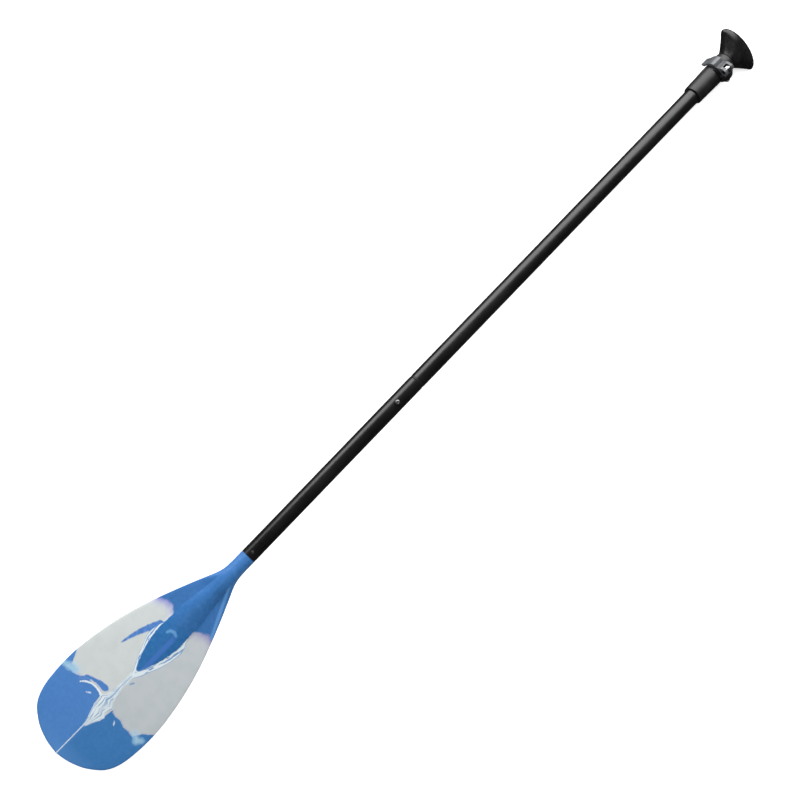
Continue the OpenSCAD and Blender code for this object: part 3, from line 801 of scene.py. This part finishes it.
# ---------------------------------------------------------------- handle
def tick_tube():
    m = satin_tube("handle_tube_black")
    # pale height marks every 10 mm, longer every 50 mm, on the face side
    c = m.attr("px")
    around = m.attr("around")
    def marks(step, half_len, width):
        line = m.step(m.math("PINGPONG", c, step / 2), width, width * 0.6)
        return m.math("MULTIPLY", line, m.step(m.math("ABSOLUTE", around), half_len, half_len * 0.9))
    f = m.math("MAXIMUM", marks(10.0, 3.0, 0.35), marks(50.0, 6.0, 0.45))
    base = m.bsdf.inputs["Base Color"].links[0].from_socket
    m.set("Base Color", m.mix(f, base, (0.7, 0.7, 0.68)))
    return m


tick_mat = tick_tube()
bm = lathe(tube_profile(HANDLE_X, HANDLE_END, INNER_R, INNER_BORE, seg=16), 128)
pts = [v.co.copy() for v in bm.verts]
ob = finish_mesh(bm, "handle_tube_skin", "handle", tick_mat.m, ["handle_tube"])
for name, values in (("px", [p.x for p in pts]), ("around", [math.atan2(p.y, p.z) * INNER_R for p in pts])):
    at = ob.data.attributes.new(name, "FLOAT", "POINT")
    at.data.foreach_set("value", np.array(values, np.float32))

bm = lathe(rounded([(BUSH_X, 0), (BUSH_X, SLEEVE_R), (HANDLE_X - 0.3, SLEEVE_R), (HANDLE_X - 0.3, 11.19),
                    (HANDLE_X + 23.7, 11.19), (HANDLE_X + 23.7, 0)], 0.6, 3), 96)
finish_mesh(bm, "handle_bush_plug", "bush", ferrule_mat.m, ["handle_bush"])


# palm grip: sections across the shaft, round at the base and a broad flat oval above
GRIP_X, GRIP_MID, GRIP_END, GRIP_HALF = 1650.0, 1678.5, 1695.2, 43.3
GRIP_BASE, GRIP_TAPER, GRIP_LIP, GRIP_TURN = 15.7, 1.0, 0.78, math.radians(15)


def grip_section(x):
    """Half span, half thickness across the shaft at x."""
    if x <= GRIP_MID:
        t = (x - GRIP_X) / (GRIP_MID - GRIP_X)
        def flare(v):
            return GRIP_BASE + (GRIP_HALF - GRIP_BASE) * (0.8 * v + 0.2 * smooth(0, 1, v)) ** 1.08
        a = flare(t)
        if t > GRIP_LIP:
            base = flare(GRIP_LIP)
            a = base + (GRIP_HALF - base) * math.sin((t - GRIP_LIP) / (1 - GRIP_LIP) * math.pi / 2)
        return a, GRIP_BASE - GRIP_TAPER * t
    s = min(1, (x - GRIP_MID) / (GRIP_END - GRIP_MID))
    return GRIP_HALF * math.sqrt(max(0, 1 - s ** 2.0)), (GRIP_BASE - GRIP_TAPER) * math.sqrt(max(0, 1 - s ** 2.5))


def build_grip():
    bm = bmesh.new()
    xs = [GRIP_X, GRIP_X + 0.3, GRIP_X + 0.9] + [GRIP_X + 1.8 + (GRIP_MID - GRIP_X - 1.8) * k / 30 for k in range(31)]
    xs += [GRIP_MID + (GRIP_END - GRIP_MID) * math.sin(math.pi / 2 * k / 22) for k in range(1, 22)]
    xs = sorted(xs + [GRIP_END - 0.012])
    rows = []
    n = 128
    for x in xs:
        a, b = grip_section(x)
        if x < GRIP_X + 0.8:
            a, b = a - 0.6 * (GRIP_X + 0.8 - x), b - 0.6 * (GRIP_X + 0.8 - x)
        rows.append([bm.verts.new((x, a * math.cos(2 * math.pi * k / n), b * math.sin(2 * math.pi * k / n)))
                     for k in range(n)])
    loft(bm, rows)
    tip = bm.verts.new((GRIP_END, 0, 0))
    for k in range(n):
        bm.faces.new((rows[-1][k], rows[-1][(k + 1) % n], tip))
    bm.faces.new(rows[0])
    bmesh.ops.transform(bm, matrix=Matrix.Rotation(GRIP_TURN, 4, "X"), verts=bm.verts)
    return finish_mesh(bm, "palm_grip_shell", "handle", grip_mat.m, ["palm_grip"], sharp=60)


build_grip()

for node, mat in (("lower_foam", foam_mat), ("handle_foam", foam_mat), ("ferrule_plug", plug_mat)):
    o = frame["nodes"][node]
    o.data.materials.clear()
    o.data.materials.append(mat.m)

# ---------------------------------------------------------------- floor, light, camera
PIC_TURN = math.radians(-45.95)
PIC_RIGHT = Vector((math.cos(PIC_TURN), math.sin(PIC_TURN), 0))
PIC_UP = Vector((-math.sin(PIC_TURN), math.cos(PIC_TURN), 0))


def floor():
    bm = bmesh.new()
    bmesh.ops.create_grid(bm, x_segments=8, y_segments=8, size=4.0)
    ob = to_object(bm, "floor")
    m = Mat("floor_white", Roughness=0.9, Specular_IOR_Level=0.1, Emission_Strength=0.5)
    m.bsdf.inputs["Base Color"].default_value = (0.93, 0.93, 0.93, 1)
    m.bsdf.inputs["Emission Color"].default_value = (1, 1, 1, 1)
    ob.data.materials.append(m.m)
    ob.visible_glossy = False      # it lights the paddle but isn't mirrored in it


def panel(name, top, out, turn, z0, z1, width, power, glossy=True):
    """A soft box: its top edge's middle in the picture's plane, how far out its foot stands, and its turn."""
    along = PIC_RIGHT * math.cos(turn) + PIC_UP * math.sin(turn)
    away = PIC_UP * math.cos(turn) - PIC_RIGHT * math.sin(turn)
    down = away * out + Vector((0, 0, z0 - z1))
    light = bpy.data.lights.new(name, "AREA")
    light.shape, light.size, light.size_y, light.energy = "RECTANGLE", width, down.length, power
    ob = add_object(name, light)
    pos = PIC_RIGHT * top[0] + PIC_UP * top[1] + Vector((0, 0, z1)) + down / 2
    yv = -down.normalized()
    back = along.cross(yv)
    if back.dot(pos) < 0:
        along, back = -along, -back
    ob.matrix_world = Matrix((
        (along.x, yv.x, back.x, pos.x), (along.y, yv.y, back.y, pos.y), (along.z, yv.z, back.z, pos.z), (0, 0, 0, 1)))
    ob.visible_glossy = glossy
    return ob


floor()
panel("key", (-0.5, 1.62), 0.8, math.radians(-7.5), 0.05, 2.0, 4.6, 128)
panel("overhead", (0, 1.6), -3.2, 0, 2.2, 2.2, 3.2, 62, False)
world = bpy.data.worlds.new("studio")
bpy.context.scene.world = world
world.use_nodes = True
nodes, link = world.node_tree.nodes, world.node_tree.links.new
room = nodes["Background"]
room.inputs["Color"].default_value = (1, 1, 1, 1)
room.inputs["Strength"].default_value = 0.03
# the room is white only where the camera sees it past the floor
seen, mixed, path = (nodes.new("ShaderNode" + k) for k in ("Background", "MixShader", "LightPath"))
seen.inputs["Color"].default_value = (1, 1, 1, 1)
link(path.outputs["Is Camera Ray"], mixed.inputs[0])
link(room.outputs[0], mixed.inputs[1])
link(seen.outputs[0], mixed.inputs[2])
link(mixed.outputs[0], nodes["World Output"].inputs["Surface"])

cam = bpy.data.cameras.new("camera")
cam.sensor_width, cam.lens, cam.clip_end = 36.0, 49.5, 20
cam.shift_x, cam.shift_y = 0.18, 0.07
ob = add_object("camera", cam)
place = Vector((-0.241, 0.108, 1.9))
ob.matrix_world = Matrix((
    (PIC_RIGHT.x, PIC_UP.x, 0, place.x), (PIC_RIGHT.y, PIC_UP.y, 0, place.y), (0, 0, 1, place.z), (0, 0, 0, 1)))
bpy.context.scene.camera = ob
bpy.context.scene.view_settings.view_transform = "Standard"
